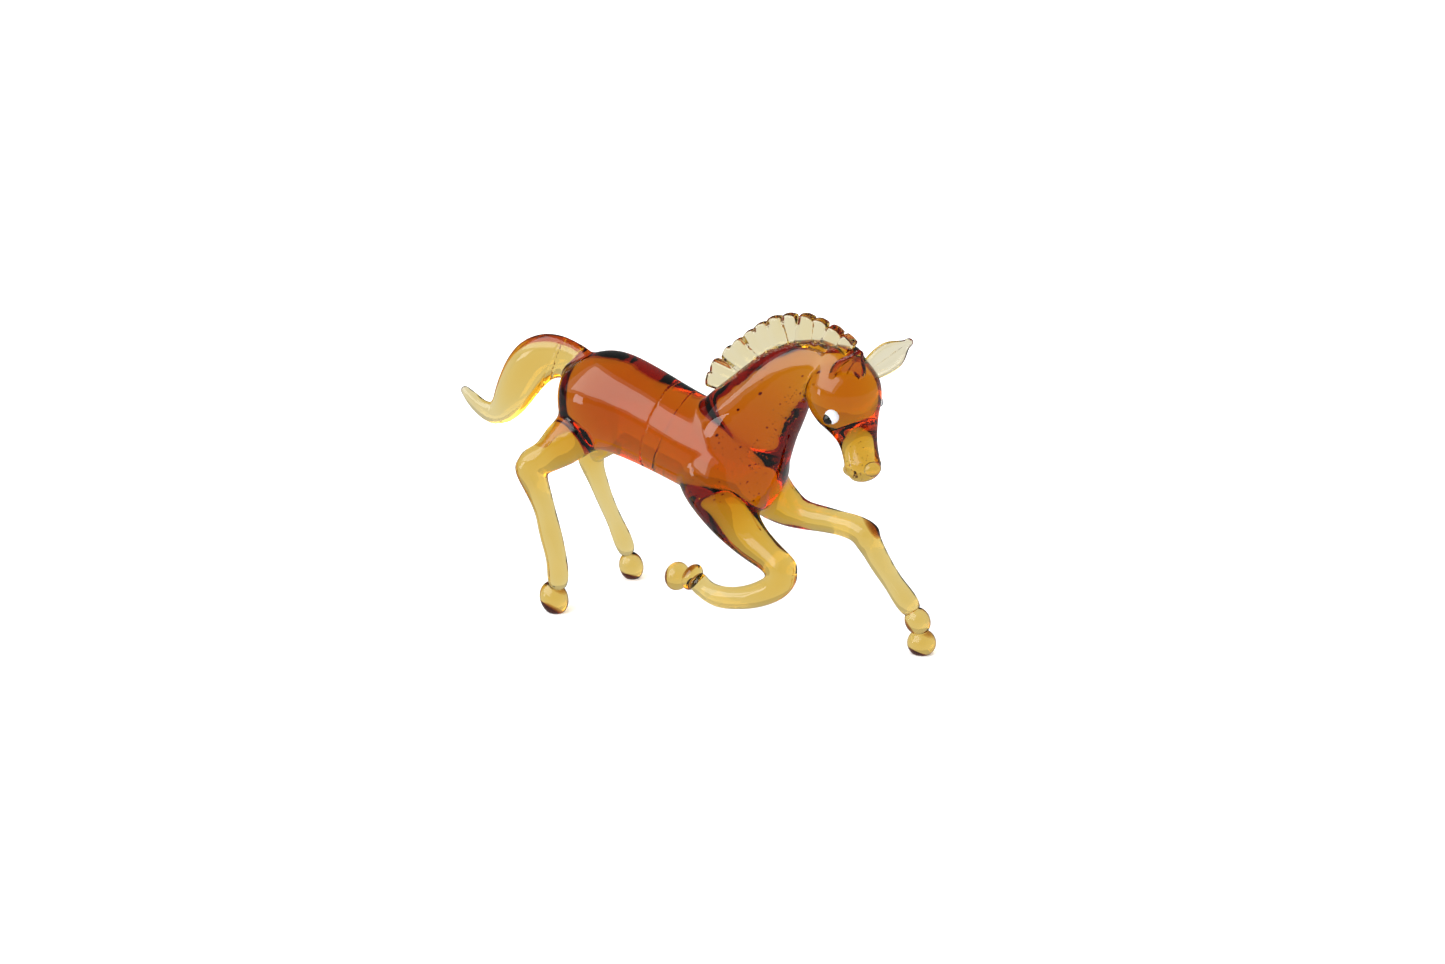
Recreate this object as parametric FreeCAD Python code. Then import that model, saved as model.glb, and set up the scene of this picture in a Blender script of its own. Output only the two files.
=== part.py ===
import FreeCAD, Part
import math
import os
from FreeCAD import Matrix, Rotation, Vector

# Lampworked glass foal in mid stride: it stands on both hind hooves and the left fore hoof, and
# holds the right foreleg folded under the chest. Every piece is a gather, a drawn rod or a bead of
# hot glass that was put against its neighbour, so pieces meet face to face along their joins.
#
# Layout frame: +X points from tail to nose, +Y to the foal's left, +Z up. The plane y = 0 halves
# the trunk, z = 0 is the table, and x = 0 is above the right hind hoof. The last step moves
# everything so that the origin is the middle of the footprint, at table height.

# Driving dimensions, in millimetres and degrees
TRUNK_TILT = 15.0            # the back falls this much towards the chest
LOIN = (19.5, 40.8)          # x, z of the seam between hindquarters and barrel
GIRTH = (31.5, 37.4)         # x, z of the seam between barrel and forequarters
TAIL_SEAM = (-6.0, 51.8)     # x, z of the seam across the tail
TAIL_SEAM_NORMAL = (-1.0, 0.0, 0.45)
TAIL_FLATTEN = 0.5           # the tail is half as thick as it is wide
TAIL_THINNEST = 1.3          # but its tip is round, with about this radius
NOSE_SEAM = (65.0, -3.1, 48.2)
HEAD_YAW = -24.0             # the head looks to the foal's right
HEAD_PITCH = 62.0            # and the nose points down
CANNON = 2.2                 # radius of a drawn cannon rod
FETLOCK = 2.5                # radius of a fetlock bead
HOOF = 3.0                   # radius of a hoof bead
HOOF_FAR = 2.65              # the left hind hoof is a smaller bead
EYE_LINE = (62.2, -1.8, 52.7)  # middle of the head, level with the eyes
EYE_WHITE = 1.5              # radius of a white dot
EYE_PUPIL = 1.15             # radius of a black dot
EYE_PLACES = {"right": (-1, 5.9, 2.4), "left": (1, 6.7, 0.8)}  # side, outwards, forwards
PUPIL_OUT = 0.75             # the black dot's middle, from the white one's
PUPIL_BACK = 0.05
PUPIL_DOWN = 0.3
LOCK_HEIGHTS = (2.2, 3.4, 4.0, 4.3, 4.7, 5.1, 5.6, 5.9, 5.8, 5.4, 4.8, 4.1)  # of the mane's dabs
LOCK_THICKNESS = 2.4
LOCK_ROOT = 1.5              # how far a dab runs down below the crest line
LOCK_CROWN = 0.6             # and how far its middle rises above its sides
MANE_GAP = 0.02              # hair line left under the mane
EAR_LEAF = ((0.0, 0.6, 1.0), (0.2, 0.9, 1.0), (0.45, 1.0, 0.9), (0.7, 0.72, 0.75), (0.9, 0.3, 0.5))
#                            # along the ear, share of its width, share of its thickness
EAR_THICKNESS = 2.2
EAR_WALL = 0.9
EAR_HOLLOW = (0.72, 0.85)    # width and thickness of the hollow, as shares of the leaf's
EAR_BROAD = (0.88, 0.47, 0.0)  # the broad way of both ears: they are laid back and face outwards
SIDE = Vector(0, 1, 0)
DOME_ANGLES = (30.0, 58.0, 78.0)
OVAL_POINTS = 8              # points on each oval's curve
FAR = 300.0                  # larger than the whole figure


# Building blocks

def unit(vector):
    return vector * (1.0 / vector.Length)


def ring(centre, along, half_height, half_width, side=SIDE):
    """Closed oval square to along: half_width is towards side, half_height is across that."""
    across = unit(side - along * side.dot(along))
    upward = along.cross(across)
    points = []
    for step in range(OVAL_POINTS):
        angle = 2.0 * math.pi * step / OVAL_POINTS
        points.append(centre + upward * (half_height * math.cos(angle))
                      + across * (half_width * math.sin(angle)))
    curve = Part.BSplineCurve()
    curve.interpolate(points, PeriodicFlag=True)
    return Part.Wire([curve.toShape()])


def dome(centre, along, half_height, half_width, side, length):
    """Rings that close an end with a rounded cap; a negative length caps the start."""
    shapes = []
    for degrees in DOME_ANGLES:
        angle = math.radians(degrees)
        shapes.append(ring(centre + along * (length * math.sin(angle)), along,
                           half_height * math.cos(angle), half_width * math.cos(angle), side))
    return shapes + [Part.Vertex(centre + along * length)]


def oval_tube(stations, start=0.0, end=0.0, side=SIDE):
    """Smooth solid through (x, y, z, half height, half width), with rounded ends of these lengths."""
    centres = [Vector(*station[:3]) for station in stations]
    last = len(stations) - 1
    rings = []
    for index, (centre, station) in enumerate(zip(centres, stations)):
        tangent = unit(centres[min(index + 1, last)] - centres[max(index - 1, 0)])
        if start and index == 0:
            rings += reversed(dome(centre, tangent, station[3], station[4], side, -start))
        rings.append(ring(centre, tangent, station[3], station[4], side))
        if end and index == last:
            rings += dome(centre, tangent, station[3], station[4], side, end)
    return Part.makeLoft(rings, True, False)


def round_tube(stations, start=0.0, end=0.0):
    """Smooth solid through (x, y, z, radius)."""
    return oval_tube([(x, y, z, r, r) for x, y, z, r in stations], start, end)


def half_space(point, normal):
    """Very large block on the side of the plane that the normal points to."""
    block = Part.makeBox(FAR, FAR, FAR, Vector(-FAR / 2, -FAR / 2, 0))
    block.Placement = FreeCAD.Placement(point, Rotation(Vector(0, 0, 1), normal))
    return block


def ellipsoid(centre, rx, ry, rz, pitch=0.0, yaw=0.0, poles=Vector(0, 0, 1)):
    """Ellipsoid with its x axis pitched nose down and then turned about Z."""
    stretch = Matrix()
    stretch.scale(rx, ry, rz)
    body = Part.makeSphere(1.0, Vector(0, 0, 0), poles).transformGeometry(stretch)
    turn = Rotation(Vector(0, 0, 1), yaw).multiply(Rotation(Vector(0, 1, 0), pitch))
    body.Placement = FreeCAD.Placement(Vector(*centre), turn)
    return body


def largest(shape):
    """The biggest solid of a result, without the crumbs that a cut can leave."""
    return max(shape.Solids, key=lambda solid: solid.Volume)


def fuse_against(shape, *neighbours):
    """Take away the neighbours, so that the piece ends on their surfaces."""
    for neighbour in neighbours:
        shape = shape.cut(neighbour)
    return largest(shape)


# Trunk: one thick gather, drawn in three goes

def make_trunk():
    return oval_tube([
        (2.0, 0, 43.5, 9.5, 8.5),
        (6.0, 0, 44.2, 10.6, 9.3),
        (11.5, 0, 43.5, 10.4, 9.2),
        (17.5, 0, 41.7, 9.9, 8.9),
        (24.5, 0, 39.4, 9.5, 9.0),
        (31.5, 0, 37.3, 9.6, 9.2),
        (38.4, 0, 35.0, 9.0, 8.6),
        (43.5, 0, 33.4, 7.2, 7.0),
    ], start=5.8, end=3.4)


def split_trunk(trunk):
    along = Rotation(Vector(0, 1, 0), TRUNK_TILT).multVec(Vector(1, 0, 0))
    behind_loin = half_space(Vector(LOIN[0], 0, LOIN[1]), along * -1)
    ahead_of_girth = half_space(Vector(GIRTH[0], 0, GIRTH[1]), along)
    return {
        "hindquarters": largest(trunk.common(behind_loin)),
        "barrel": largest(trunk.cut(behind_loin).cut(ahead_of_girth)),
        "forequarters": largest(trunk.common(ahead_of_girth)),
    }


# Neck and head

def make_neck(grow=0.0):
    return oval_tube([(x, y, z, half_height + grow, half_width + grow)
                      for x, y, z, half_height, half_width in [
        (35.2, 0, 36.5, 11.6, 7.6),
        (37.5, 0, 40.8, 11.5, 8.2),
        (41.0, 0, 46.6, 9.8, 7.6),
        (44.8, 0, 51.9, 8.2, 6.8),
        (48.9, 0, 56.8, 6.7, 5.9),
        (54.0, 0, 59.7, 5.5, 5.2),
        (58.5, 0, 60.4, 4.7, 4.6),
    ]])


def make_head(grow=0.0):
    return round_tube([(x, y, z, radius + grow) for x, y, z, radius in [
        (59.2, 0.0, 61.6, 5.2),
        (60.1, -0.5, 58.2, 7.0),
        (61.2, -1.0, 55.0, 7.5),
        (62.9, -1.8, 51.7, 6.5),
        (64.6, -2.8, 49.0, 4.9),
        (65.6, -3.4, 47.0, 4.05),
        (66.3, -4.1, 45.0, 3.8),
        (67.2, -4.8, 43.0, 3.85),
        (67.9, -5.3, 41.5, 3.4),
    ]], start=3.2, end=2.3)


def head_axis():
    """Unit vector from poll to nose."""
    turn = Rotation(Vector(0, 0, 1), HEAD_YAW).multiply(Rotation(Vector(0, 1, 0), HEAD_PITCH))
    return turn.multVec(Vector(1, 0, 0))


def make_eye(side, out, ahead):
    """White dot and black dot; side is -1 for the foal's right and 1 for its left."""
    outward = Rotation(Vector(0, 0, 1), HEAD_YAW).multVec(Vector(0, side, 0))
    forward = Rotation(Vector(0, 0, 1), HEAD_YAW).multVec(Vector(1, 0, 0))
    socket = Vector(*EYE_LINE) + outward * out + forward * ahead
    centre = socket + outward * PUPIL_OUT - forward * PUPIL_BACK - Vector(0, 0, PUPIL_DOWN)
    facing = HEAD_YAW + 90.0 * side
    white = ellipsoid(socket, EYE_WHITE, EYE_WHITE, EYE_WHITE, yaw=facing)
    pupil = ellipsoid(centre, EYE_PUPIL, EYE_PUPIL, EYE_PUPIL, yaw=facing)
    return white, pupil


def make_ear(base, tip, half_width, broad):
    """Pinched leaf from base to tip, as wide as it gets along broad, hollowed on one face."""
    base, tip, broad = Vector(*base), Vector(*tip), Vector(*broad)
    length = (tip - base).Length
    along = unit(tip - base)
    half = EAR_THICKNESS / 2
    leaf = oval_tube([(*(base + along * (length * t)), half * thick, half_width * wide)
                      for t, wide, thick in EAR_LEAF], end=length * 0.1, side=broad)
    front = unit(broad.cross(along))
    narrow, shallow = EAR_HOLLOW
    hollow = oval_tube([(*(base + along * (length * t) + front * EAR_WALL),
                         half * thick * shallow, half_width * wide * narrow)
                        for t, wide, thick in EAR_LEAF], end=length * 0.04, side=broad)
    return largest(leaf.cut(hollow))


# Mane: dabs side by side along the crest

def crest_point(t):
    """Root of the mane and its upward direction; t runs from 0 at the withers to 1 at the poll."""
    root = Part.BSplineCurve()
    root.interpolate([Vector(30.9, 0, 51.0), Vector(38.4, 0, 57.2), Vector(45.5, 0, 61.8),
                      Vector(53.0, 0, 63.9), Vector(61.4, 0, 61.8)])
    low, high = root.FirstParameter, root.LastParameter
    parameter = low + (high - low) * t
    point = root.value(parameter)
    tangent = unit(root.tangent(parameter)[0])
    return point, Vector(-tangent.z, 0, tangent.x)


def make_mane(*neighbours):
    locks = []
    count = len(LOCK_HEIGHTS)
    for number, height in enumerate(LOCK_HEIGHTS):
        left, left_up = crest_point(number / count)
        right, right_up = crest_point((number + 1) / count)
        middle, up = crest_point((number + 0.5) / count)
        corners = [left - left_up * LOCK_ROOT, left + left_up * height,
                   middle + up * (height + LOCK_CROWN),
                   right + right_up * height, right - right_up * LOCK_ROOT]
        outline = Part.makePolygon([corner - SIDE * (LOCK_THICKNESS / 2)
                                    for corner in corners + corners[:1]])
        slab = Part.Face(outline).extrude(SIDE * LOCK_THICKNESS)
        locks.append(fuse_against(slab, *neighbours))
    return Part.makeCompound(locks)


# Tail

def make_tail():
    stations = [
        (1.2, 51.0, 3.4),
        (-1.2, 51.7, 3.9),
        (-4.4, 52.1, 4.5),
        (-8.0, 51.6, 4.9),
        (-10.9, 50.0, 5.1),
        (-13.4, 47.3, 5.0),
        (-15.7, 43.7, 4.6),
        (-17.8, 40.2, 3.9),
        (-19.9, 37.7, 3.0),
        (-22.3, 36.8, 2.4),
        (-24.7, 37.5, 1.9),
        (-27.0, 39.2, 1.5),
        (-28.8, 40.8, 1.0),
    ]
    return oval_tube([(x, 0, z, wide, max(wide * TAIL_FLATTEN, min(wide, TAIL_THINNEST)))
                      for x, z, wide in stations], end=0.9)


# Legs: each segment is a drawn rod with rounded ends, run into the one above it

def make_right_hind():
    gaskin = round_tube([(6.5, -2.2, 41.5, 4.2), (3.6, -4.0, 39.3, 4.9), (0.8, -5.6, 37.1, 5.0),
                         (-2.0, -7.2, 34.4, 4.2), (-4.4, -8.5, 32.4, 3.4),
                         (-6.6, -9.2, 31.1, 3.2)], start=3.0, end=3.0)
    cannon = round_tube([(-7.4, -9.5, 30.3, 3.0), (-6.1, -9.8, 27.8, 2.9), (-4.6, -10.2, 25.0, 2.5),
                         (-2.8, -10.6, 20.7, CANNON), (-1.2, -11.0, 15.5, 2.3),
                         (0.1, -11.4, 10.7, 2.2), (0.5, -11.7, 6.5, 2.05)], start=2.6, end=1.6)
    hoof = ellipsoid((-0.4, -12.0, 2.95), HOOF, HOOF * 0.95, 3.7, pitch=-22.0)
    return gaskin, cannon, hoof


def make_left_hind():
    gaskin = round_tube([(7.0, 2.6, 39.6, 4.4), (4.0, 4.8, 36.0, 4.6), (1.2, 6.7, 32.7, 3.9),
                         (-1.6, 7.9, 29.9, 3.1)], start=3.0, end=2.7)
    cannon = round_tube([(-2.9, 8.2, 28.0, 2.8), (-2.6, 8.5, 25.5, 2.5), (-1.8, 9.0, 22.5, 2.1),
                         (-0.2, 9.7, 17.5, 1.8), (2.0, 10.5, 11.9, 1.8),
                         (4.0, 11.2, 6.4, 1.8)], start=2.3, end=1.4)
    hoof = ellipsoid((4.8, 11.7, 2.6), HOOF_FAR, HOOF_FAR * 0.95, 3.2, pitch=-15.0)
    return gaskin, cannon, hoof


def make_left_fore():
    forearm = round_tube([(39.0, 3.6, 31.6, 5.6), (43.0, 5.4, 27.1, 4.7), (45.8, 6.0, 25.3, 3.8),
                          (48.5, 6.0, 24.6, 3.1), (52.9, 6.0, 24.4, 2.7), (57.5, 6.0, 24.2, 2.5),
                          (61.4, 6.0, 23.6, 2.7), (63.7, 6.0, 22.7, 2.7)], start=4.0, end=2.2)
    cannon = round_tube([(62.9, 6.0, 22.6, 2.6), (64.7, 5.8, 20.3, 2.45), (66.7, 5.5, 17.6, 2.25),
                         (70.4, 5.0, 13.4, 2.1), (74.1, 4.7, 9.3, 2.1)], start=2.0, end=1.5)
    fetlock = ellipsoid((75.8, 4.5, 6.8), FETLOCK * 1.2, FETLOCK, FETLOCK * 1.05, pitch=60.0)
    hoof = ellipsoid((76.8, 4.5, 2.2), HOOF, HOOF * 0.95, 2.9, pitch=-10.0)
    return forearm, cannon, fetlock, hoof


def make_right_fore():
    forearm = round_tube([(32.2, -1.2, 36.5, 8.0), (34.1, -3.0, 32.6, 8.0), (36.5, -4.6, 29.0, 6.6),
                          (39.5, -6.0, 25.7, 5.1), (43.2, -7.0, 22.8, 4.0), (46.9, -8.0, 21.0, 3.4),
                          (49.7, -8.7, 19.7, 3.15), (51.7, -9.0, 18.2, 3.2)], start=6.0, end=2.9)
    shank = round_tube([(52.2, -9.2, 17.6, 2.9), (51.0, -9.5, 15.3, 2.9), (48.4, -9.6, 13.1, 2.7),
                        (45.1, -9.5, 11.4, 2.5), (41.0, -9.3, 10.1, 2.3), (36.6, -9.0, 9.7, 2.2),
                        (33.4, -8.8, 10.8, 2.05), (31.9, -8.7, 12.0, 2.0)], start=2.0, end=1.2)
    fetlock = ellipsoid((30.8, -8.6, 12.5), 1.9, FETLOCK * 1.15, FETLOCK * 1.15, pitch=20.0,
                        poles=Vector(1, 0, 0))
    hoof = ellipsoid((27.2, -8.5, 12.0), 2.5, HOOF, HOOF, pitch=5.0, poles=Vector(1, 0, 0))
    return forearm, shank, fetlock, hoof


def make_leg_nodes(prefix, names, segments, *body):
    """Cut each segment against the trunk and the segments above it, and stand it on the table."""
    table = half_space(Vector(0, 0, 0), Vector(0, 0, -1))
    nodes = {}
    for name, segment in zip(names, segments):
        nodes[f"{prefix}_{name}"] = fuse_against(segment, *body, *nodes.values(), table)
    return nodes


def make_pieces():
    trunk, neck, head = make_trunk(), make_neck(), make_head()
    nose = half_space(Vector(*NOSE_SEAM), head_axis())
    nodes = split_trunk(trunk)
    nodes["neck"] = fuse_against(neck, trunk)
    nodes["skull"] = fuse_against(head, nose, neck)
    nodes["muzzle"] = largest(head.common(nose))
    nodes["nose_bead"] = fuse_against(ellipsoid((70.6, -7.1, 42.8), 1.4, 1.9, 1.5, yaw=HEAD_YAW), head)
    nodes["chin_bead"] = fuse_against(ellipsoid((64.7, -3.9, 40.7), 1.9, 2.0, 1.5, yaw=HEAD_YAW), head)
    for prefix, place in EYE_PLACES.items():
        white, pupil = make_eye(*place)
        nodes[f"{prefix}_eye_white"] = fuse_against(white, head)
        nodes[f"{prefix}_eye_pupil"] = fuse_against(pupil, white, head)
    nodes["right_ear"] = fuse_against(make_ear((61.7, -4.9, 57.4), (66.9, -5.6, 66.5), 3.5, EAR_BROAD),
                                      head, neck)
    nodes["left_ear"] = fuse_against(make_ear((64.6, 2.6, 59.2), (72.3, 6.8, 65.9), 3.1, EAR_BROAD),
                                     head, neck)
    nodes["mane_locks"] = make_mane(make_neck(MANE_GAP), make_head(MANE_GAP),
                                    nodes["right_ear"], nodes["left_ear"])

    tail = fuse_against(make_tail(), trunk)
    switch_side = half_space(Vector(TAIL_SEAM[0], 0, TAIL_SEAM[1]), unit(Vector(*TAIL_SEAM_NORMAL)))
    nodes["tail_dock"] = largest(tail.cut(switch_side))
    nodes["tail_switch"] = largest(tail.common(switch_side))

    nodes.update(make_leg_nodes("right_hind", ("gaskin", "cannon", "hoof"), make_right_hind(), trunk))
    nodes.update(make_leg_nodes("left_hind", ("gaskin", "cannon", "hoof"), make_left_hind(),
                                trunk, nodes["right_hind_gaskin"]))
    nodes.update(make_leg_nodes("right_fore", ("forearm", "shank", "fetlock", "hoof"),
                                make_right_fore(), trunk, neck))
    nodes.update(make_leg_nodes("left_fore", ("forearm", "cannon", "fetlock", "hoof"),
                                make_left_fore(), trunk, neck, nodes["right_fore_forearm"]))
    return nodes


def export(nodes):
    """Move the origin to the middle of the footprint and write one STEP file per piece."""
    os.makedirs("parts", exist_ok=True)
    box = Part.makeCompound(list(nodes.values())).optimalBoundingBox(False)
    shift = Vector(-(box.XMin + box.XMax) / 2, -(box.YMin + box.YMax) / 2, -box.ZMin)
    print(f"layout frame moved by {shift.x:.3f} {shift.y:.3f} {shift.z:.3f}")
    for name, shape in nodes.items():
        shape.translate(shift)
        shape.exportStep(f"parts/{name}.step")
        print(f"{name:22s} {shape.ShapeType:9s} solids {len(shape.Solids):2d} volume {shape.Volume:9.2f}",
              "ok" if shape.isValid() else "NOT VALID")


export(make_pieces())
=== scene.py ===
# %% [markdown]
# # A lampworked glass foal
#
# The real object is a figure of clear amber glass, taken to be about 11 cm long, pulled and pinched
# from hot rod at a torch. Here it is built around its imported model: every piece is made in metres,
# in the same frame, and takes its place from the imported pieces.

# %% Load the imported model
import math
import random

import bmesh
import bpy
import numpy as np
from mathutils import Matrix, Vector, kdtree


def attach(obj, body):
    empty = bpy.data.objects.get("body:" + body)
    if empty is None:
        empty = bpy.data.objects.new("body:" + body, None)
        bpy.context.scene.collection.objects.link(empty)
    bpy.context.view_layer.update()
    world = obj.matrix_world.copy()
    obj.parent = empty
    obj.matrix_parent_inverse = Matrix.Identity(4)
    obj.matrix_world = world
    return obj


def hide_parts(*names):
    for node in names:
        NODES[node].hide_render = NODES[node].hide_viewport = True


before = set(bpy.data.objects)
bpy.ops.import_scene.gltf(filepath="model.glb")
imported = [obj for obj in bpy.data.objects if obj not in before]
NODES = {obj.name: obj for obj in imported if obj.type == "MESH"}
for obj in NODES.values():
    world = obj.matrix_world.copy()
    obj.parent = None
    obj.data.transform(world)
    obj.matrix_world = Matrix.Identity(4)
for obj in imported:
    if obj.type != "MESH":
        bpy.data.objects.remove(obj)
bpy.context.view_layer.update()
MM = 0.001

# %% [markdown]
# ## Helpers
#
# A colour is easiest to read as the sRGB hex value that a paint program shows, but the shaders
# work in linear light, so one function turns one into the other. Another adds a shader node with
# its settings and links in one call.

# %% Colour and shader nodes
def paint(code):
    """sRGB hex to linear RGBA."""
    channels = [int(code[i:i + 2], 16) / 255 for i in (0, 2, 4)]
    return (*[c / 12.92 if c <= 0.04045 else ((c + 0.055) / 1.055) ** 2.4 for c in channels], 1.0)


def add(tree, kind, inputs=None, **settings):
    """Add a shader node; an input is a plain value or the output socket of another node."""
    made = tree.nodes.new(kind)
    for name, value in settings.items():
        setattr(made, name, value)
    for name, value in (inputs or {}).items():
        if isinstance(value, bpy.types.NodeSocket):
            tree.links.new(value, made.inputs[name])
        else:
            made.inputs[name].default_value = value
    return made


def new_material(name):
    material = bpy.data.materials.new(name)
    material.use_nodes = True
    material.node_tree.nodes.clear()
    return material


# %% [markdown]
# ## Amber glass
#
# Coloured glass has no paint on it. Its colour is what is left of the light after its way through
# the glass, so most of the step from a straw yellow leg to a deep amber trunk is only the length of
# glass. A Volume Absorption node does just that: it takes a share of each colour away per metre.
# The surface is only a clear skin, fire polished by the torch, so it is almost perfectly smooth,
# with a faint slow waviness where the hand held the glass in the flame.

# %% Amber glass, fire polished at the torch
STRAW_PER_METRE = 400.0
STRAW_KEPT = "FAE663"         # red passes, green fades, blue is gone after a few millimetres
SODA_GLASS_IOR = 1.50
WAVE_MM = 7.0                 # the slow waviness of a surface that was worked by hand
WAVE_DEPTH_MM = 0.012


def make_straw(name, per_metre, wave_depth):
    material = new_material(name)
    tree = material.node_tree
    place = add(tree, "ShaderNodeTexCoord")
    wave = add(tree, "ShaderNodeTexNoise", {"Vector": place.outputs["Object"],
               "Scale": 1.0 / (WAVE_MM * MM), "Detail": 1.0, "Roughness": 0.3})
    bump = add(tree, "ShaderNodeBump", {"Height": wave.outputs["Fac"], "Strength": 1.0,
               "Distance": wave_depth})
    skin = add(tree, "ShaderNodeBsdfPrincipled", {"Base Color": paint("FFFFFF"),
               "Roughness": 0.0, "IOR": SODA_GLASS_IOR, "Transmission Weight": 1.0,
               "Normal": bump.outputs["Normal"]})
    colour = add(tree, "ShaderNodeVolumeAbsorption", {"Color": paint(STRAW_KEPT),
                 "Density": per_metre})
    add(tree, "ShaderNodeOutputMaterial", {"Surface": skin.outputs["BSDF"],
        "Volume": colour.outputs["Volume"]})
    return material


STRAW = make_straw("straw_soda_glass_fire_polished", STRAW_PER_METRE, WAVE_DEPTH_MM * MM)
print("made", STRAW.name)

# %% Paler glass of the mane, deeper glass of the near ear
PALE_PER_METRE = 210.0
CRUMPLE_DEPTH_MM = 0.05       # pressed with a tool, so it is less even
EAR_PER_METRE = 2200.0        # the near ear is deeper in colour than its thin leaf explains
EAR_CRUMPLE_MM = 0.16

PALE = make_straw("pale_straw_glass_tool_pressed", PALE_PER_METRE, CRUMPLE_DEPTH_MM * MM)
EAR = make_straw("struck_amber_glass_folded", EAR_PER_METRE, EAR_CRUMPLE_MM * MM)
print("made", PALE.name, EAR.name)

# %% [markdown]
# One absorption for all the glass leaves either the legs too dark or the trunk too pale. Amber glass
# strikes a deeper colour the longer it is hot, and a thick gather stays hot long, so a deeper core in
# trunk, neck and head is a fair guess. Nobody has seen it: it is there to match the colour. Nothing
# bends or mirrors where it starts, because its IOR against the glass around it is 1. Brown glass
# inside the hooves and dark specks are made the same way.

# %% Deeper and darker glass inside the straw glass
CORE_PER_METRE = 200.0
CORE_KEPT = "F8E789"
BROWN_PER_METRE = 2200.0      # in hooves, fetlocks and knee
BROWN_KEPT = "DFBC7C"
# dark specks: painted shade of the largest seeds, made as dark glass
SPECK_PER_METRE = 14000.0


def make_core_glass(name, per_metre, kept):
    material = new_material(name)
    tree = material.node_tree
    skin = add(tree, "ShaderNodeBsdfPrincipled", {"Base Color": paint("FFFFFF"),
               "Roughness": 0.0, "IOR": 1.0, "Transmission Weight": 1.0})
    colour = add(tree, "ShaderNodeVolumeAbsorption", {"Color": paint(kept),
                 "Density": per_metre})
    add(tree, "ShaderNodeOutputMaterial", {"Surface": skin.outputs["BSDF"],
        "Volume": colour.outputs["Volume"]})
    return material


CORE = make_core_glass("struck_amber_glass_core", CORE_PER_METRE, CORE_KEPT)
BROWN = make_core_glass("brown_glass_inclusion", BROWN_PER_METRE, BROWN_KEPT)
# painted shade of seeds, as dark glass grains
SPECK = make_core_glass("seed_shade_painted_dark_glass", SPECK_PER_METRE, BROWN_KEPT)
print("made", CORE.name, BROWN.name, SPECK.name)

# %% [markdown]
# ## White and black glass
#
# The eyes are dots of soft opaque glass, melted onto the head: a white one and a black one on top.
# Opaque glass still has the same clear gloss, so both are plain Principled surfaces with glass's
# IOR and almost no roughness. White glass lets a little light in below its skin, which takes the
# hardness off its shadow side.

# %% Opaque dots of white and black glass
def make_opaque(name, colour, below):
    material = new_material(name)
    tree = material.node_tree
    place = add(tree, "ShaderNodeTexCoord")
    cloud = add(tree, "ShaderNodeTexNoise", {"Vector": place.outputs["Object"],
                "Scale": 1.0 / (0.6 * MM), "Detail": 2.0})
    rough = add(tree, "ShaderNodeMapRange", {"Value": cloud.outputs["Fac"],
                "To Min": 0.02, "To Max": 0.08})
    skin = add(tree, "ShaderNodeBsdfPrincipled", {"Base Color": paint(colour),
               "Roughness": rough.outputs["Result"], "IOR": 1.52,
               "Subsurface Weight": below, "Subsurface Scale": 0.4 * MM})
    add(tree, "ShaderNodeOutputMaterial", {"Surface": skin.outputs["BSDF"]})
    return material


WHITE = make_opaque("opal_white_glass_melted_dot", "C9CACF", 0.3)
BLACK = make_opaque("black_glass_melted_dot", "0B0A0A", 0.0)
print("made", WHITE.name, BLACK.name)

# %% [markdown]
# ## The fused gather
#
# Trunk, neck, head, tail and the drawn parts of the legs were melted into each other. There is no wall
# left inside where they meet, so light runs through from one to the next, and only a soft valley
# shows outside. Separate closed meshes would show every inside face as a mirror. So copies of the
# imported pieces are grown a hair, to overlap, and a voxel Remesh makes one skin around them all.
# Smoothing then rounds the valleys, as surface tension does.

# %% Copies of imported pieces
def copy_of(*names, grow=0.0):
    """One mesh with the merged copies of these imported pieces, each grown outwards by grow."""
    whole = bmesh.new()
    for name in names:
        one = bmesh.new()
        one.from_mesh(NODES[name].data)
        bmesh.ops.remove_doubles(one, verts=one.verts, dist=0.0001 * MM)
        one.normal_update()
        for vertex in one.verts:
            vertex.co += vertex.normal * grow
        loose = bpy.data.meshes.new("loose")
        one.to_mesh(loose)
        one.free()
        whole.from_mesh(loose)
        bpy.data.meshes.remove(loose)
    return whole


def link(name, shape, material):
    """Turn a bmesh into a shaded object that rides on the figure."""
    mesh = bpy.data.meshes.new(name)
    shape.to_mesh(mesh)
    shape.free()
    mesh.shade_smooth()
    piece = bpy.data.objects.new(name, mesh)
    bpy.context.scene.collection.objects.link(piece)
    mesh.materials.append(material)
    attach(piece, "root")
    return piece


def remeshed(shape, voxel):
    """Skin around everything in shape."""
    rough = bpy.data.objects.new("rough", bpy.data.meshes.new("rough"))
    shape.to_mesh(rough.data)
    shape.free()
    bpy.context.scene.collection.objects.link(rough)
    remesh = rough.modifiers.new("skin", "REMESH")
    remesh.mode = "VOXEL"
    remesh.voxel_size = voxel
    view = bpy.context.evaluated_depsgraph_get()
    mesh = bpy.data.meshes.new_from_object(rough.evaluated_get(view))
    bpy.data.objects.remove(rough)
    skin = bmesh.new()
    skin.from_mesh(mesh)
    bpy.data.meshes.remove(mesh)
    return skin


def relax(shape, times, verts=None):
    """Round the shape, or only some of its points, as surface tension does."""
    for _ in range(times):
        bmesh.ops.smooth_vert(shape, verts=verts or shape.verts, factor=0.5, use_axis_x=True,
                              use_axis_y=True, use_axis_z=True)


# %% One skin around the fused pieces
FUSED = ["hindquarters", "barrel", "forequarters", "neck", "skull", "muzzle", "tail_dock",
         "right_hind_gaskin", "right_hind_cannon", "left_hind_gaskin", "left_hind_cannon",
         "left_fore_forearm", "left_fore_cannon", "right_fore_forearm", "right_fore_shank",
         "tail_switch"]
VOXEL_MM = 0.4
GROW_MM = 0.06
RELAX_TIMES = 8

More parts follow.
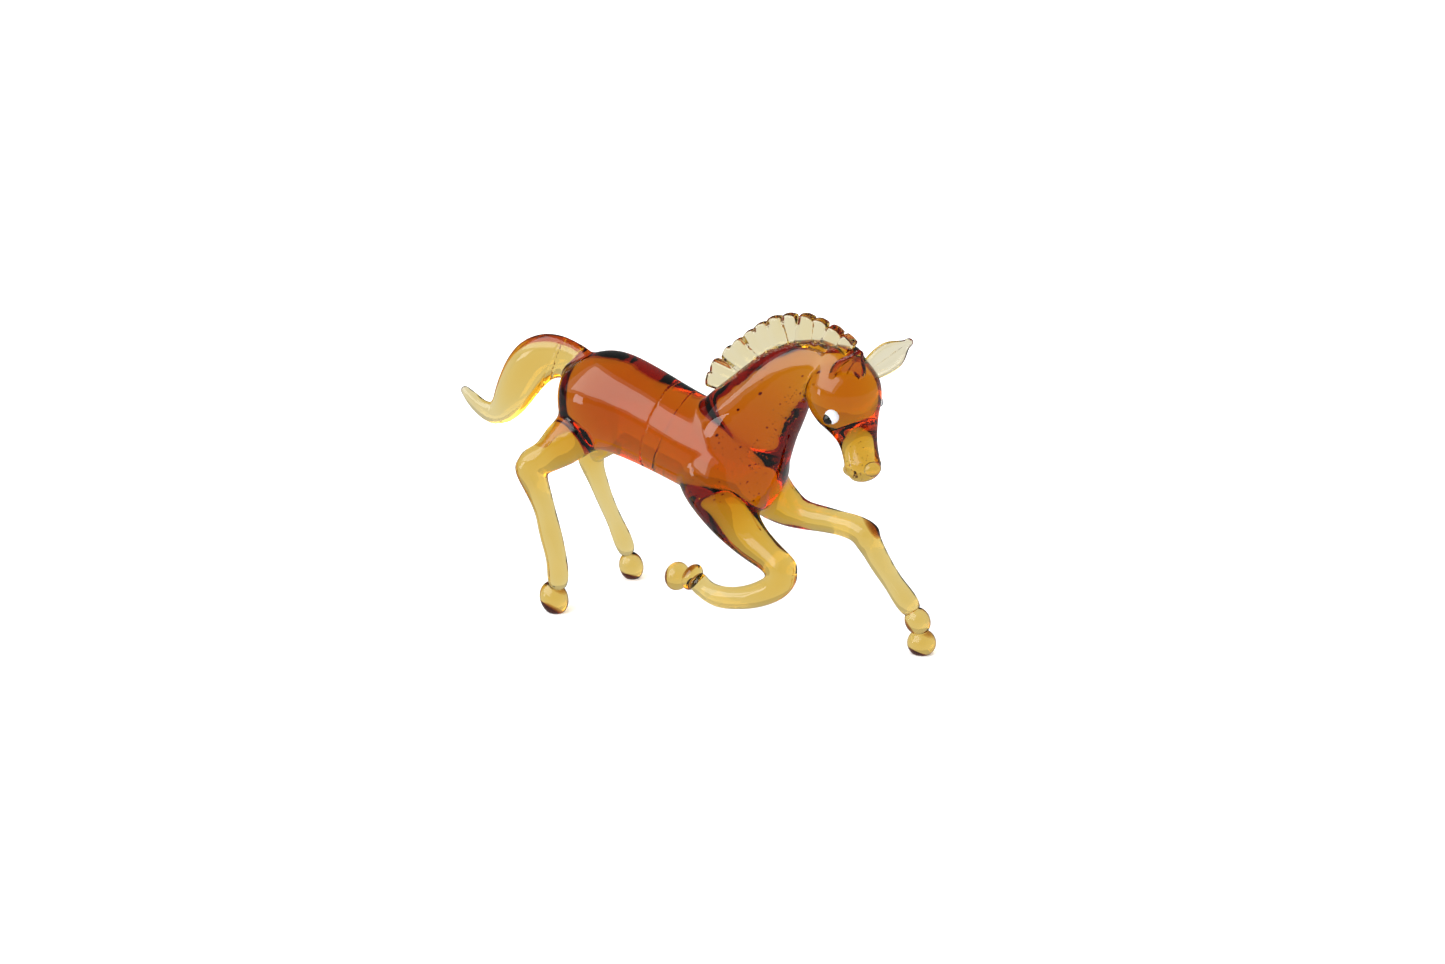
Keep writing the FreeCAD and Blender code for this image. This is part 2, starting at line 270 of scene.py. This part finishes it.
gather = remeshed(copy_of(*FUSED, grow=GROW_MM * MM), VOXEL_MM * MM)
relax(gather, RELAX_TIMES)
print(f"fused gather: {len(gather.faces)} faces, {gather.calc_volume() / MM ** 3:.0f} mm3 of glass")

# %% [markdown]
# Where two goes of glass were joined end to end, a thin line stays around the join. The packed
# pieces share a flat face there, so the points that both have give the plane of the line.

# %% Seam lines
SEAM_HALF_MM = 0.35
SEAM_DEPTH_MM = 0.35
LOIN_REACH_MM, DOCK_REACH_MM = 12, 6
DOCK_SHALLOWER = 0.5
MEETING_MM = 0.4              # points this close belong to the place where two pieces meet
EASED = [("muzzle", "skull", 7.5, 80),            # piece, its neighbour, reach in mm, times
         ("right_hind_gaskin", "hindquarters", 6.5, 25),
         ("left_hind_gaskin", "hindquarters", 6.5, 25),
         ("neck", "forequarters", 11.0, 25),
         ("left_fore_forearm", "forequarters", 7.0, 25)]


def shared_plane(one, other, within=0.01 * MM):
    """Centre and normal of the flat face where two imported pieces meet."""
    tree = kdtree.KDTree(len(NODES[other].data.vertices))
    for vertex in NODES[other].data.vertices:
        tree.insert(vertex.co, vertex.index)
    tree.balance()
    points = np.array([vertex.co for vertex in NODES[one].data.vertices
                       if tree.find(vertex.co)[2] < within])
    centre = (points.min(0) + points.max(0)) / 2
    normal = np.linalg.svd(points - points.mean(0), full_matrices=False)[2][-1]
    return Vector(centre), Vector(normal)


def seam_line(shape, centre, normal, reach, depth):
    """Cut a shallow groove around shape, on the plane, within reach of centre."""
    for offset in (-SEAM_HALF_MM, 0.0, SEAM_HALF_MM):
        bmesh.ops.bisect_plane(shape, geom=shape.verts[:] + shape.edges[:] + shape.faces[:],
                               plane_co=centre + normal * (offset * MM), plane_no=normal,
                               dist=0.02 * MM)
    shape.normal_update()
    for vertex in shape.verts:
        away = vertex.co - centre
        if abs(away.dot(normal)) < 0.03 * MM and away.length < reach:
            vertex.co -= vertex.normal * depth


def ease(shape, one, other, reach, times):
    """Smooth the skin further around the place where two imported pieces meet."""
    centre = shared_plane(one, other, within=MEETING_MM * MM)[0]
    near = [vertex for vertex in shape.verts if (vertex.co - centre).length < reach]
    relax(shape, times, near)
    print(f"eased {one} into {other}: {len(near)} points")


for one, other, reach_mm, times in EASED:
    ease(gather, one, other, reach_mm * MM, times)

loin, loin_way = shared_plane("hindquarters", "barrel")
seam_line(gather, loin, loin_way, LOIN_REACH_MM * MM, SEAM_DEPTH_MM * MM)
dock, dock_way = shared_plane("tail_dock", "tail_switch")
seam_line(gather, dock, dock_way, DOCK_REACH_MM * MM, DOCK_SHALLOWER * SEAM_DEPTH_MM * MM)
print(f"seams at x {loin.x / MM:.1f} and {dock.x / MM:.1f} mm")

# %% [markdown]
# Hot glass traps air. The bubbles, which a glass worker calls seeds, are pulled long when the neck
# is drawn out. A seed is a hole in the glass, so each is a small closed shell in the same mesh,
# with its faces turned to look into the hole. Their places are drawn at random.

# %% Seeds in the glass
DRAW = random.Random(8)


def middle(name):
    """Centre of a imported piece's box."""
    points = np.array([vertex.co for vertex in NODES[name].data.vertices])
    return Vector((points.min(0) + points.max(0)) / 2)


def add_seeds(shape, source, count, radii, stretch, depths, wanted, hollow):
    """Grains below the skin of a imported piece, where wanted(vertex) holds, long along the neck."""
    places = [vertex for vertex in NODES[source].data.vertices if wanted(vertex)]
    along = (middle("skull") - middle("forequarters")).to_track_quat("Z", "Y").to_matrix().to_4x4()
    for vertex in DRAW.choices(places, k=count):
        place = vertex.co - vertex.normal * (DRAW.uniform(*depths) * MM)
        radius = DRAW.uniform(*radii) * MM
        size = Matrix.Diagonal((radius, radius, radius * DRAW.uniform(1.0, stretch), 1.0))
        made = bmesh.ops.create_icosphere(shape, subdivisions=1, radius=1.0,
                                          matrix=Matrix.Translation(place) @ along @ size)
        if hollow:
            faces = {face for point in made["verts"] for face in point.link_faces}
            bmesh.ops.reverse_faces(shape, faces=list(faces))
    print(f"{count} seeds in the {source}")


def faces_near_side(vertex):
    return vertex.normal.y < -0.45


def faces_throat(vertex):
    return vertex.normal.x > 0.35 and vertex.normal.y < 0.2


# piece, how many, radius in mm, how much longer than wide, depth in mm, where
HOLLOW_SEEDS = [("neck", 170, (0.08, 0.16), 1.6, (0.5, 3.0), faces_throat),
                ("muzzle", 30, (0.08, 0.15), 1.2, (0.5, 2.0), faces_near_side),
                ("forequarters", 45, (0.08, 0.18), 1.5, (0.6, 3.0), faces_near_side)]

for row in HOLLOW_SEEDS:
    add_seeds(gather, *row, hollow=True)
body = link("fused_gather", gather, STRAW)
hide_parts(*FUSED)

# %% [markdown]
# A large seed on the real object looks like a dark speck, as its rim bends the view away. A hollow
# one hardly shows here, because it bends the view towards surroundings that are as bright as those
# behind it. So grains of dark glass stand in for the largest ones: their darkness is painted shade,
# in a mesh of their own, as a mesh has only one glass in it.

# %% Painted shade of the largest seeds, as dark specks in neck, shoulder, trunk and muzzle
DARK_SPECKS = [("neck", 18, (0.17, 0.34), 2.2, (0.9, 2.4)),
               ("forequarters", 14, (0.12, 0.22), 2.0, (0.9, 2.4)),
               ("barrel", 6, (0.10, 0.18), 2.0, (0.9, 2.4)),
               ("muzzle", 8, (0.10, 0.16), 1.2, (0.7, 1.6))]

# the specks are painted shade that stands in for the dark rim of large seeds
specks = bmesh.new()
for row in DARK_SPECKS:
    add_seeds(specks, *row, faces_near_side, hollow=False)
link("painted_seed_shade", specks, SPECK)

# %% Deeper core of trunk, neck and head
THICK = ["hindquarters", "barrel", "forequarters", "neck", "skull"]
CORE_INSIDE_MM = 0.45
MUZZLE_INSIDE_MM = 1.0        # it runs out as a point in the muzzle
CORE_VOXEL_MM = 0.6
CORE_RELAX_TIMES = 40

thick = copy_of(*THICK, grow=GROW_MM * MM)
thin = copy_of("muzzle", grow=-MUZZLE_INSIDE_MM * MM)
spike = bpy.data.meshes.new("spike")
thin.to_mesh(spike)
thin.free()
thick.from_mesh(spike)
bpy.data.meshes.remove(spike)
core = remeshed(thick, CORE_VOXEL_MM * MM)
relax(core, CORE_RELAX_TIMES)
core.normal_update()
for vertex in core.verts:
    vertex.co -= vertex.normal * (CORE_INSIDE_MM * MM)
print(f"core: {len(core.faces)} faces, {core.calc_volume() / MM ** 3:.0f} mm3")
link("struck_core", core, CORE)

# %% [markdown]
# ## Mane
#
# The mane is twelve dabs of paler glass, put on one after the other. Each dab is round like a
# cushion and sinks into the next, so the crest is ribbed. A ball that is pulled part of the way out
# to a block is such a cushion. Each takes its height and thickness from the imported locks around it,
# all are equally wide, and one voxel skin fuses the twelve.

# %% Ribbed crest
DABS = 12
CUSHION = 0.40                # 0 is a block, 1 is a ball
DAB_WIDER, DAB_THICKER = 1.12, 1.25
DAB_TILT = math.radians(4.0)
DAB_WINDOW = 0.8              # how many steps away a packed point may lie and still measure a dab
CREST_VOXEL_MM = 0.2
CREST_RELAX_TIMES = 2


def cushion(shape, centre, axes, halves):
    """One dab: a ball pulled part of the way back to a block, along three axes."""
    for vertex in bmesh.ops.create_icosphere(shape, subdivisions=4, radius=1.0)["verts"]:
        block = vertex.co / max(abs(a) for a in vertex.co)
        at = block.lerp(vertex.co, CUSHION)
        vertex.co = centre + sum((axis * (half * a) for axis, half, a in zip(axes, halves, at)),
                                 Vector())


def middle_and_half(points, axis):
    reach = points @ np.array(axis)
    return (reach.max() + reach.min()) / 2, (reach.max() - reach.min()) / 2


# The locks stand on an arc, so a circle through them in their own plane gives each one's place.
locks = np.array([vertex.co for vertex in NODES["mane_locks"].data.vertices])
right, up, across = (Vector(row) for row in np.linalg.svd(locks - locks.mean(0),
                                                          full_matrices=False)[2])
flat = locks @ np.array([right, up]).T
hub = np.linalg.lstsq(np.c_[2 * flat, np.ones(len(flat))], (flat ** 2).sum(1), rcond=None)[0][:2]
angles = np.arctan2(*(flat - hub).T[::-1])
radius = np.linalg.norm(flat - hub, axis=1).mean()
step = (angles.max() - angles.min()) / DABS
crest = bmesh.new()
for i in range(DABS):
    angle = angles.min() + (i + 0.5) * step
    own = locks[abs(angles - angle) < DAB_WINDOW * step]
    lean = Matrix.Rotation(DRAW.uniform(-DAB_TILT, DAB_TILT), 3, across)
    out = lean @ (right * math.cos(angle) + up * math.sin(angle))
    axes = [out.cross(across), across, out]
    places, halves = zip(*[middle_and_half(own, axis) for axis in axes])
    halves = [radius * step / 2, *halves[1:]]
    centre = sum((axis * place for axis, place in zip(axes, places)), Vector())
    print(f"dab {i}:", [round(half / MM, 2) for half in halves])
    cushion(crest, centre, axes, [halves[0] * DAB_WIDER,
            halves[1] * DAB_THICKER * DRAW.uniform(0.9, 1.15), halves[2] * DRAW.uniform(1.0, 1.06)])
crest = remeshed(crest, CREST_VOXEL_MM * MM)
relax(crest, CREST_RELAX_TIMES)
print(f"crest: {len(crest.faces)} faces")
mane = link("ribbed_mane", crest, PALE)
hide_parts("mane_locks")

# %% [markdown]
# ## Brown in hooves, fetlocks and knee
#
# Each hoof of the real foal has dark brown crescents. They may be a dip of brown glass, or just the
# view of something dark, bent by the bead. Here they are brown glass. It lies inside the clear hoof
# as a cap, so it is a slice of the hoof's own shape, a little smaller, and the curved skin around it
# bends it into crescents.

# %% Brown caps and rings
CAP_INSIDE_MM = 0.18
# piece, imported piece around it, azimuth and elevation that it lies towards, share left clear
CAPS = [("right_hind_sole", "right_hind_hoof", -155.0, -55.0, 0.74),
        ("right_hind_coronet", "right_hind_hoof", 20.0, 60.0, 0.88),
        ("left_hind_sole", "left_hind_hoof", -140.0, -70.0, 0.78),
        ("left_hind_coronet", "left_hind_hoof", 30.0, 80.0, 0.93),
        ("left_fore_sole", "left_fore_hoof", -140.0, -70.0, 0.78),
        ("left_fore_coronet", "left_fore_hoof", 30.0, 70.0, 0.86),
        ("left_fore_pastern", "left_fore_fetlock", -150.0, -35.0, 0.82),
        ("right_fore_sole", "right_fore_hoof", -170.0, -5.0, 0.78),
        ("right_fore_coronet", "right_fore_fetlock", -170.0, 45.0, 0.76),
        ("left_fore_knee", "left_fore_forearm", 28.0, 38.0, 0.93)]


def brown_cap(name, source, azimuth, elevation, clear):
    """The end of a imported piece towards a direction, past the clear share, as brown inside it."""
    turn, rise = math.radians(azimuth), math.radians(elevation)
    way = Vector((math.cos(rise) * math.cos(turn), math.cos(rise) * math.sin(turn), math.sin(rise)))
    shape = copy_of(source, grow=-CAP_INSIDE_MM * MM)
    reach = [vertex.co.dot(way) for vertex in shape.verts]
    cut = min(reach) + (max(reach) - min(reach)) * clear
    bmesh.ops.bisect_plane(shape, geom=shape.verts[:] + shape.edges[:] + shape.faces[:],
                           plane_co=way * cut, plane_no=-way, dist=0.001 * MM, clear_outer=True)
    bmesh.ops.holes_fill(shape, edges=[edge for edge in shape.edges if edge.is_boundary], sides=0)
    bmesh.ops.triangulate(shape, faces=shape.faces)
    print(f"{name}: {len(shape.faces)} faces, {shape.calc_volume() / MM ** 3:.1f} mm3")
    link(name, shape, BROWN)


for row in CAPS:
    brown_cap(*row)

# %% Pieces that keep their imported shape
for name, node in NODES.items():
    if name not in FUSED and name != "mane_locks":
        material = (WHITE if "white" in name else BLACK if "pupil" in name
                    else EAR if name == "right_ear" else STRAW)
        node.data.materials.clear()
        node.data.materials.append(material)
        node.data.shade_smooth()

# %% [markdown]
# ## Table, light and camera
#
# Glass is lit from behind: it stands on a white table, in a room that is a little dimmer than the
# table, so that the edges of the glass, which bend the view far to the side, draw themselves as
# thin lines. A soft window on the left gives the long highlights. A Light Path node gives the table
# and the room one brightness through the glass, one in its gloss and one as light. No real room does
# that: it stands in for a studio that isn't known, and its values are given. A ray that bends
# into glass counts as glossy too, so Is Transmission Ray has the last word.

# %% White table
TABLE_THROUGH_GLASS = 0.80    # how bright the table is as the glass shows it
ROOM_THROUGH_GLASS = 0.60
TABLE_MIRRORED = 0.40         # how bright the gloss shows table and room, beside the soft window
ROOM_MIRRORED = 0.15
STUDIO_FILL = 1.5             # light on the table itself


def make_table():
    shape = bmesh.new()
    bmesh.ops.create_circle(shape, cap_ends=True, segments=96, radius=6.0)
    mesh = bpy.data.meshes.new("table")
    shape.to_mesh(mesh)
    shape.free()
    table = bpy.data.objects.new("table", mesh)
    bpy.context.scene.collection.objects.link(table)
    material = new_material("white_laminate_matt")
    tree = material.node_tree
    lit = add(tree, "ShaderNodeBsdfDiffuse", {"Color": paint("F7F7F7")})
    through = add(tree, "ShaderNodeEmission", {"Strength": TABLE_THROUGH_GLASS})
    mirrored = add(tree, "ShaderNodeEmission", {"Strength": TABLE_MIRRORED})
    path = add(tree, "ShaderNodeLightPath")
    first = add(tree, "ShaderNodeMixShader", {0: path.outputs["Is Glossy Ray"],
                1: lit.outputs["BSDF"], 2: mirrored.outputs["Emission"]})
    both = add(tree, "ShaderNodeMixShader", {0: path.outputs["Is Transmission Ray"],
               1: first.outputs["Shader"], 2: through.outputs["Emission"]})
    add(tree, "ShaderNodeOutputMaterial", {"Surface": both.outputs["Shader"]})
    mesh.materials.append(material)


make_table()

# %% Room light and the soft window
def make_world():
    world = bpy.data.worlds.new("studio")
    bpy.context.scene.world = world
    world.use_nodes = True
    tree = world.node_tree
    tree.nodes.clear()
    fill = add(tree, "ShaderNodeBackground", {"Strength": STUDIO_FILL, "Color": paint("FFFFFF")})
    through = add(tree, "ShaderNodeBackground", {"Strength": ROOM_THROUGH_GLASS,
                  "Color": paint("FFFFFF")})
    mirrored = add(tree, "ShaderNodeBackground", {"Strength": ROOM_MIRRORED,
                   "Color": paint("FFFFFF")})
    path = add(tree, "ShaderNodeLightPath")
    first = add(tree, "ShaderNodeMixShader", {0: path.outputs["Is Glossy Ray"],
                1: fill.outputs["Background"], 2: mirrored.outputs["Background"]})
    both = add(tree, "ShaderNodeMixShader", {0: path.outputs["Is Transmission Ray"],
               1: first.outputs["Shader"], 2: through.outputs["Background"]})
    add(tree, "ShaderNodeOutputWorld", {"Surface": both.outputs["Shader"]})


def soft_window(name, azimuth, elevation, distance, width, height, radiance):
    """Area light that faces the figure from this direction, with this brightness to look at."""
    light = bpy.data.lights.new(name, "AREA")
    light.shape = "RECTANGLE"
    light.size, light.size_y = width, height
    light.energy = radiance * math.pi * width * height
    lamp = bpy.data.objects.new(name, light)
    turn = Matrix.Rotation(math.radians(azimuth), 4, "Z") @ Matrix.Rotation(
        math.radians(90.0 - elevation), 4, "Y")
    lamp.matrix_world = Matrix.Translation((0, 0, 0.04)) @ turn @ Matrix.Translation(
        (0, 0, distance)) @ Matrix.Rotation(math.radians(90.0), 4, "Z")
    bpy.context.scene.collection.objects.link(lamp)


make_world()
soft_window("tall_window", -128.0, 38.0, 1.2, 1.4, 1.1, 2.6)
soft_window("window_glow", -128.0, 40.0, 1.3, 2.2, 1.6, 0.6)
soft_window("low_card", -141.0, 2.0, 0.5, 0.12, 0.10, 4.0)

# %% Camera
camera = bpy.data.objects.new("camera", bpy.data.cameras.new("camera"))
camera.data.lens = 85.0
camera.data.sensor_width = 36.0
camera.location = (0.31532, -0.57729, 0.28205)
camera.rotation_euler = (math.radians(69.0), 0.0, math.radians(28.0))
bpy.context.scene.collection.objects.link(camera)
bpy.context.scene.camera = camera
bpy.context.scene.view_settings.view_transform = "Standard"
